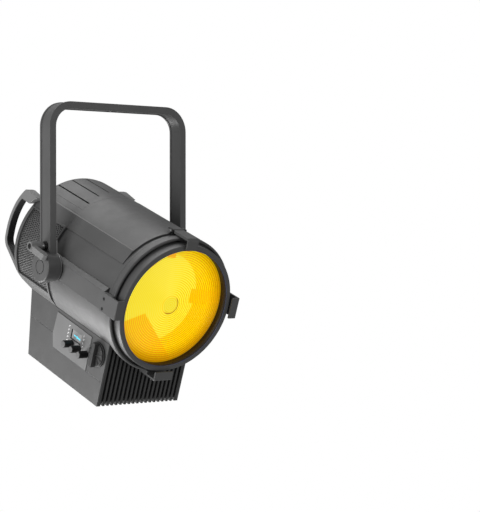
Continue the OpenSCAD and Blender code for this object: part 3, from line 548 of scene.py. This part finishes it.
# ---- near-black liners inside the rear handles, painted shade of their inner channel ---
LINER_SHARE = 0.84     # of the handle's width
LINER_T = 0.0004
GRIP_AHEAD = 0.03      # where a hand would be, ahead of the middle of the handle's reach
FACES_SIDEWAYS = 0.3   # cosines that tell the handle's sides and its inner faces
FACES_GRIP = 0.45
WELDS_PER_M = 2e4      # points in one cell of this grid become one


def shade_liner(name, node_name):
    """Copies the faces on a handle's inner side, narrower and just proud of them, as painted shade."""
    mesh = NODES[node_name].data
    lo, hi = head_box(node_name)
    mid = (lo[0] + hi[0]) / 2
    back = head_box("rear_plate")[0][2] - 0.001
    grip_z = (lo[2] + back) / 2 + GRIP_AHEAD
    verts, index, faces = [], {}, []
    for p in mesh.polygons:
        corners = [TO_HEAD @ mesh.vertices[i].co for i in p.vertices]
        centre = sum(corners, Vector()) / len(corners)
        normal = (TO_HEAD.to_3x3() @ p.normal).normalized()
        to_grip = Vector((0.0, -centre.y, grip_z - centre.z)).normalized()
        if abs(normal.x) > FACES_SIDEWAYS or centre.z > back - 0.001 or normal.dot(to_grip) < FACES_GRIP:
            continue
        ids = []
        for q in corners:
            q = Vector((mid + (q.x - mid) * LINER_SHARE, q.y, q.z)) + normal * LINER_T
            key = tuple(round(w * WELDS_PER_M) for w in q)
            if key not in index:
                index[key] = len(verts)
                verts.append(tuple(q))
            ids.append(index[key])
        if len(set(ids)) == len(ids):
            faces.append(ids)
    piece(name, verts, faces, MATS["knob_rubber"], node_name, smooth=False)


shade_liner("handle_liner_left", "rear_handle_left")
shade_liner("handle_liner_right", "rear_handle_right")


# ---- control panel --------------------------------------------------------------
SLAB_EDGE = 0.0002


def slab(name, rects, x0, x1, mat, like, stands_for=()):
    """Thin plates standing on the side of the case. rects hold (up0, up1, forward0, forward1)."""
    verts, faces = [], []
    for y0, y1, z0, z1 in rects:
        n = len(verts)
        e = min(abs(x1 - x0), SLAB_EDGE)
        for x, d in ((x1, 0.0), (x0, 0.0), (x0 - math.copysign(e, x1 - x0), e)):
            verts += [(x, y0 + d, z0 + d), (x, y1 - d, z0 + d), (x, y1 - d, z1 - d), (x, y0 + d, z1 - d)]
        for a in (n, n + 4):
            for k in range(4):
                faces.append((a + k, a + (k + 1) % 4, a + 4 + (k + 1) % 4, a + 4 + k))
        faces.append((n + 8, n + 9, n + 10, n + 11))
        faces.append((n + 3, n + 2, n + 1, n))
    piece(name, verts, faces, mat, like, smooth=False, stands_for=stands_for)


SCREEN_LO, SCREEN_HI = head_box("display_screen")
PANEL_X = head_box("control_panel")[0][0]
SCREEN_HIGHLIGHT_GLOW = 0.45
STREAK_AT, STREAK_FALL, STREAK_HALF = 0.53, -0.12, 0.065
STREAK_FROM, STREAK_TO = 0.24, 0.88
SPOT_AT, SPOT_R, SPOT_SQUASH = (0.56, 0.46), 0.17, 1.4


def screen_material():
    """Painted highlight that also glows: a slanted streak of light with a small diamond on it, in shares of
    the screen's width and height. The grey under it is partly a painted reflection.
    """
    m, nt, b = material("screen_face")
    g = Graph(nt)
    y, z = head_coords(nt)[1:]
    u = g.op("DIVIDE", g.op("SUBTRACT", z, SCREEN_LO[2]), SCREEN_HI[2] - SCREEN_LO[2])
    t = g.op("DIVIDE", g.op("SUBTRACT", y, SCREEN_LO[1]), SCREEN_HI[1] - SCREEN_LO[1])
    middle = g.op("ADD", STREAK_AT, g.op("MULTIPLY", u, STREAK_FALL))
    away = g.op("ABSOLUTE", g.op("SUBTRACT", t, middle))
    streak = g.product(g.flip(g.step(away, STREAK_HALF, 0.04)), g.step(u, STREAK_FROM, 0.04),
                       g.flip(g.step(u, STREAK_TO, 0.06)))
    spot_u = g.op("ABSOLUTE", g.op("MULTIPLY", g.op("SUBTRACT", u, SPOT_AT[0]), SPOT_SQUASH))
    spot_t = g.op("ABSOLUTE", g.op("SUBTRACT", t, SPOT_AT[1]))
    glow = g.op("MAXIMUM", streak, g.flip(g.step(g.op("ADD", spot_u, spot_t), SPOT_R, 0.05)))
    base = ramp(nt, noise(nt, 40.0), [(0.3, grey(0.24)), (0.7, grey(0.28))])
    nt.links.new(g.mix(glow, base, rgb(0.1, 0.62, 0.78)), b.inputs["Base Color"])
    nt.links.new(g.mix(glow, grey(0.0), rgb(0.1, 0.6, 0.75)), b.inputs["Emission Color"])
    b.inputs["Emission Strength"].default_value = SCREEN_HIGHLIGHT_GLOW
    uneven(nt, b.inputs["Roughness"], 90.0, grey(0.1), grey(0.16))
    return m


slab("screen_face", [(SCREEN_LO[1], SCREEN_HI[1], SCREEN_LO[2], SCREEN_HI[2])], SCREEN_LO[0], SCREEN_HI[0],
     screen_material(), "display_screen", stands_for=("display_screen",))

# painted shadow of the screen's recess: a dark strip along the bottom and the rear side of the screen
EDGE_W = 0.0011
OVERLAP = 0.0004
slab("screen_recess_shadow",
     [(SCREEN_LO[1] - OVERLAP, SCREEN_LO[1] + EDGE_W, SCREEN_LO[2], SCREEN_HI[2]),
      (SCREEN_LO[1], SCREEN_HI[1], SCREEN_LO[2] - OVERLAP, SCREEN_LO[2] + EDGE_W)],
     PANEL_X - 0.00002, SCREEN_LO[0] + OVERLAP, MATS["knob_rubber"], "status_window")

# small printed ticks in a column on either side of the screen
ink = coat("panel_ink", grey(0.82), grey(0.9), 0.6)
TICK_TOP = SCREEN_HI[1] + 0.0035
TICK_PITCH = 0.0064
TICK_H = 0.0034
LINE_W = 0.001
REAR_TICKS = SCREEN_LO[2] - 0.0098
FRONT_TICKS = SCREEN_HI[2] + 0.0062
ticks = []
for k in range(5):
    top = TICK_TOP - k * TICK_PITCH
    ticks.append((top - TICK_H, top, REAR_TICKS, REAR_TICKS + LINE_W))
    ticks.append((top - LINE_W, top, REAR_TICKS, REAR_TICKS + 0.004))
    ticks.append((top - TICK_H, top, FRONT_TICKS, FRONT_TICKS + 0.9 * LINE_W))
    if k % 2:
        ticks.append((top - LINE_W, top, FRONT_TICKS, FRONT_TICKS + 0.0032))
slab("panel_marks", ticks, PANEL_X - 0.00008, PANEL_X + 0.0002, ink, "control_panel")

# slightly dished caps on the ends of the encoder knobs
CAP_STEPS = 32
CAP_INSET = 0.0012
cap_mat = coat("knob_cap", grey(0.11), grey(0.14), 0.42)


def knob_cap(name, node_name):
    """Lathed cap. Its profile holds (radius, depth in from the knob's end)."""
    lo, hi = head_box(node_name)
    y, z = (lo[1] + hi[1]) / 2, (lo[2] + hi[2]) / 2
    rad = (hi[1] - lo[1]) / 2 - CAP_INSET
    profile = [(rad, 0.0006), (rad, -0.00005), (rad - 0.0004, -0.00025), (rad * 0.6, -0.0001)]
    verts, faces = [], []
    for r, dx in profile:
        verts += [(lo[0] + dx, y + dy, z + dz) for dy, dz in circle(r, CAP_STEPS)]
    for a in range(0, len(verts) - CAP_STEPS, CAP_STEPS):
        for k in range(CAP_STEPS):
            n = (k + 1) % CAP_STEPS
            faces.append((a + k, a + n, a + CAP_STEPS + n, a + CAP_STEPS + k))
    faces.append(tuple(range(len(verts) - CAP_STEPS, len(verts))))
    faces.append(tuple(reversed(range(CAP_STEPS))))
    piece(name, verts, faces, cap_mat, node_name)


for n in (1, 2, 3):
    knob_cap("knob_cap_%d" % n, "encoder_knob_%d" % n)

# ---- floor and light ------------------------------------------------------------
lo, hi = cad_box
centre = (Vector(lo) + Vector(hi)) / 2
size = (Vector(hi) - Vector(lo)).length
FLOOR_DROP = 2.2 * size
FLOOR_SIDE = 9 * size
AMBIENT = 0.28

floor_mat, nt, b = material("floor_paint")
uneven(nt, b.inputs["Base Color"], 3.0, grey(0.9), grey(0.94))
uneven(nt, b.inputs["Roughness"], 20.0, grey(0.75), grey(0.85))
bpy.ops.mesh.primitive_plane_add(size=FLOOR_SIDE, location=(centre.x, centre.y, lo[2] - FLOOR_DROP))
floor = bpy.context.object
floor.name = "floor"
floor.data.materials.append(floor_mat)

# white backdrop, which lights the object as strongly as AMBIENT says
world = bpy.data.worlds.new("studio")
bpy.context.scene.world = world
world.use_nodes = True
wt = world.node_tree
bg = wt.nodes["Background"]
bg.inputs[0].default_value = grey(1.0)
path = wt.nodes.new("ShaderNodeLightPath")
level = wt.nodes.new("ShaderNodeMapRange")
level.inputs["To Min"].default_value = AMBIENT
level.inputs["To Max"].default_value = 1.0
wt.links.new(path.outputs["Is Camera Ray"], level.inputs["Value"])
wt.links.new(level.outputs[0], bg.inputs[1])


def softbox(name, direction, distance, width, height, power):
    """Area light aimed at the object. Its distance, width and height are times the object's size."""
    data = bpy.data.lights.new(name, "AREA")
    data.shape = "RECTANGLE"
    data.size = width * size
    data.size_y = height * size
    data.energy = power
    obj = bpy.data.objects.new(name, data)
    d = Vector(direction).normalized()
    obj.location = centre + d * distance * size
    obj.rotation_euler = (-d).to_track_quat("-Z", "Y").to_euler()
    bpy.context.scene.collection.objects.link(obj)


softbox("key_left", (-1.0, -0.1, 0.1), 2.4, 1.6, 1.6, 23.0)
softbox("top", (0.0, 0.2, 1.0), 2.2, 2.0, 2.0, 19.0)
softbox("low_left", (-0.6, 0.75, -0.8), 2.0, 1.6, 0.9, 27.0)
softbox("front_fill", (0.3, -1.0, 0.1), 3.0, 2.0, 2.0, 8.0)

# ---- camera at the photograph's viewing angle, placed from the object's origin ------
VIEW_AZ = math.radians(-39.5)
VIEW_EL = math.radians(0.6)
VIEW_DISTANCE = 2.841
VIEW_SIDE = 0.2147
VIEW_HEIGHT = -0.2592
LENS_MM = 116.4

right = Vector((math.cos(VIEW_AZ), math.sin(VIEW_AZ), 0))
flat = math.cos(VIEW_EL)
back = Vector((math.sin(VIEW_AZ) * flat, -math.cos(VIEW_AZ) * flat, math.sin(VIEW_EL)))
up = back.cross(right)
spot = VIEW_SIDE * right + Vector((0, 0, VIEW_HEIGHT)) + VIEW_DISTANCE * back
camera = bpy.data.objects.new("camera", bpy.data.cameras.new("camera"))
camera.data.lens = LENS_MM
camera.data.clip_end = 100
camera.matrix_world = Matrix((
    (right.x, up.x, back.x, spot.x), (right.y, up.y, back.y, spot.y), (right.z, up.z, back.z, spot.z),
    (0, 0, 0, 1)))
bpy.context.scene.collection.objects.link(camera)
bpy.context.scene.camera = camera
bpy.context.scene.view_settings.view_transform = "Standard"
